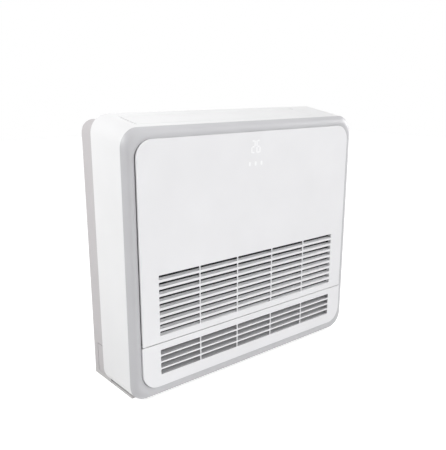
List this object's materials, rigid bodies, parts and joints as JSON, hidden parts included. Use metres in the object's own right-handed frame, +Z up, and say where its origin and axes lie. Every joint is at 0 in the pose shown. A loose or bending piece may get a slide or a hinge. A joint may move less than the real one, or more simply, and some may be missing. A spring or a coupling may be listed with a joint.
{
  "type": "floor console air conditioner",
  "caption": "Low floor-standing air conditioner indoor unit: opening slotted front panel in a grey ring, lower outlet grille with damper, and a flapped top outlet.",
  "frame": {"origin": "on the floor under the middle of the unit", "axes": "+X to the right seen from the front, +Y to the rear, +Z up; the front faces -Y"},
  "size_m": [0.7, 0.215, 0.627],
  "materials": {
    "white_shell": "satin white moulded plastic",
    "rear_white": "satin warm light grey moulded plastic",
    "panel_white": "smooth white, faintly glossy",
    "ring_grey": "silver grey, fine satin",
    "grey_plastic": "plain moulded",
    "filter_net": "fine plastic net",
    "duct_plastic": "plain moulded",
    "dark_plastic": "plain moulded",
    "sheet_steel": "zinc-coated sheet",
    "coil_fins": "stamped fins",
    "copper": "drawn copper tube",
    "brass": "turned brass",
    "steel": "bright zinc",
    "board_green": "printed board with parts"
  },
  "bodies": {
    "root": {"base_plate": "sheet_steel", "rear_casing": "rear_white", "pipe_cover_left": "rear_white", "pipe_cover_right": "rear_white", "front_casing": "white_shell", "bezel_ring": "ring_grey", "lower_grille": "panel_white", "inner_fascia": "grey_plastic", "catch_left": "grey_plastic", "catch_right": "grey_plastic", "button_switch": "dark_plastic", "evaporator_coil": "coil_fins", "coil_end_left": "sheet_steel", "coil_end_right": "sheet_steel", "drain_pan": "duct_plastic", "gas_pipe": "copper", "liquid_pipe": "copper", "gas_flare_nut": "brass", "liquid_flare_nut": "brass", "bell_mouth": "duct_plastic", "fan_chamber": "duct_plastic", "fan_motor": "dark_plastic", "motor_bracket": "sheet_steel", "lower_duct": "duct_plastic", "damper_motor": "dark_plastic", "top_outlet": "duct_plastic", "flap_motor": "dark_plastic", "vane_motor": "dark_plastic", "control_box": "sheet_steel", "control_box_cover": "sheet_steel", "cover_screw_1": "steel", "cover_screw_2": "steel", "circuit_board": "board_green", "terminal_block": "dark_plastic"},
    "fan": {"fan_wheel": "grey_plastic", "motor_shaft": "steel", "fan_nut": "steel"},
    "front_panel_body": {"front_panel": "panel_white", "display_module": "dark_plastic"},
    "filter_left": {"filter_left_frame": "grey_plastic", "filter_left_net": "filter_net"},
    "filter_right": {"filter_right_frame": "grey_plastic", "filter_right_net": "filter_net"},
    "flap": {"top_flap": "white_shell"},
    "damper": {"outlet_damper": "duct_plastic"},
    "button": {"emergency_button": "ring_grey"},
    "link": {"vane_link": "duct_plastic"},
    "vane_1_body": {"vane_1": "duct_plastic"},
    "vane_2_body": {"vane_2": "duct_plastic"},
    "vane_3_body": {"vane_3": "duct_plastic"},
    "vane_4_body": {"vane_4": "duct_plastic"},
    "vane_5_body": {"vane_5": "duct_plastic"},
    "vane_6_body": {"vane_6": "duct_plastic"},
    "vane_7_body": {"vane_7": "duct_plastic"},
    "vane_8_body": {"vane_8": "duct_plastic"}
  },
  "joints": [
    {"name": "fan_spin", "type": "hinge", "parent": "root", "child": "fan", "pos_m": [-0.042, -0.033, 0.33], "axis": [0, 1, 0], "continuous": true},
    {"name": "front_panel_hinge", "type": "hinge", "parent": "root", "child": "front_panel_body", "pos_m": [0, -0.0995, 0.1465], "axis": [1, 0, 0], "range_deg": [0, 60]},
    {"name": "filter_left_slide", "type": "slide", "parent": "root", "child": "filter_left", "axis": [0, 0, 1], "range_m": [0, 0.15]},
    {"name": "filter_right_slide", "type": "slide", "parent": "root", "child": "filter_right", "axis": [0, 0, 1], "range_m": [0, 0.15]},
    {"name": "flap_hinge", "type": "hinge", "parent": "root", "child": "flap", "pos_m": [0, 0.0008, 0.61592], "axis": [-1, 0, 0], "range_deg": [0, 75]},
    {"name": "damper_hinge", "type": "hinge", "parent": "root", "child": "damper", "pos_m": [0, -0.0878, 0.1375], "axis": [1, 0, 0], "range_deg": [0, 75]},
    {"name": "emergency_button_press", "type": "slide", "parent": "root", "child": "button", "axis": [0, 1, 0], "range_m": [0, 0.002], "stiffness_N_per_m": 600, "springref_m": -0.0015},
    {"name": "vane_1_swing", "type": "hinge", "parent": "root", "child": "vane_1_body", "pos_m": [-0.255, -0.03, 0.585], "axis": [0, 1, 0], "range_deg": [-30, 30]},
    {"name": "vane_2_swing", "type": "hinge", "parent": "root", "child": "vane_2_body", "pos_m": [-0.1915, -0.03, 0.585], "axis": [0, 1, 0], "range_deg": [-30, 30]},
    {"name": "vane_3_swing", "type": "hinge", "parent": "root", "child": "vane_3_body", "pos_m": [-0.128, -0.03, 0.585], "axis": [0, 1, 0], "range_deg": [-30, 30]},
    {"name": "vane_4_swing", "type": "hinge", "parent": "root", "child": "vane_4_body", "pos_m": [-0.0645, -0.03, 0.585], "axis": [0, 1, 0], "range_deg": [-30, 30]},
    {"name": "vane_5_swing", "type": "hinge", "parent": "root", "child": "vane_5_body", "pos_m": [-0.001, -0.03, 0.585], "axis": [0, 1, 0], "range_deg": [-30, 30]},
    {"name": "vane_6_swing", "type": "hinge", "parent": "root", "child": "vane_6_body", "pos_m": [0.0625, -0.03, 0.585], "axis": [0, 1, 0], "range_deg": [-30, 30]},
    {"name": "vane_7_swing", "type": "hinge", "parent": "root", "child": "vane_7_body", "pos_m": [0.126, -0.03, 0.585], "axis": [0, 1, 0], "range_deg": [-30, 30]},
    {"name": "vane_8_swing", "type": "hinge", "parent": "root", "child": "vane_8_body", "pos_m": [0.1895, -0.03, 0.585], "axis": [0, 1, 0], "range_deg": [-30, 30]},
    {"name": "vane_link_slide", "type": "slide", "parent": "root", "child": "link", "axis": [1, 0, 0], "range_m": [-0.00733, 0.00733]}
  ],
  "couplings": [
    {"joint": "vane_1_swing", "follows": "vane_link_slide", "rad_per_m": -71.428},
    {"joint": "vane_2_swing", "follows": "vane_link_slide", "rad_per_m": -71.428},
    {"joint": "vane_3_swing", "follows": "vane_link_slide", "rad_per_m": -71.428},
    {"joint": "vane_4_swing", "follows": "vane_link_slide", "rad_per_m": -71.428},
    {"joint": "vane_5_swing", "follows": "vane_link_slide", "rad_per_m": -71.428},
    {"joint": "vane_6_swing", "follows": "vane_link_slide", "rad_per_m": -71.428},
    {"joint": "vane_7_swing", "follows": "vane_link_slide", "rad_per_m": -71.428},
    {"joint": "vane_8_swing", "follows": "vane_link_slide", "rad_per_m": -71.428}
  ]
}
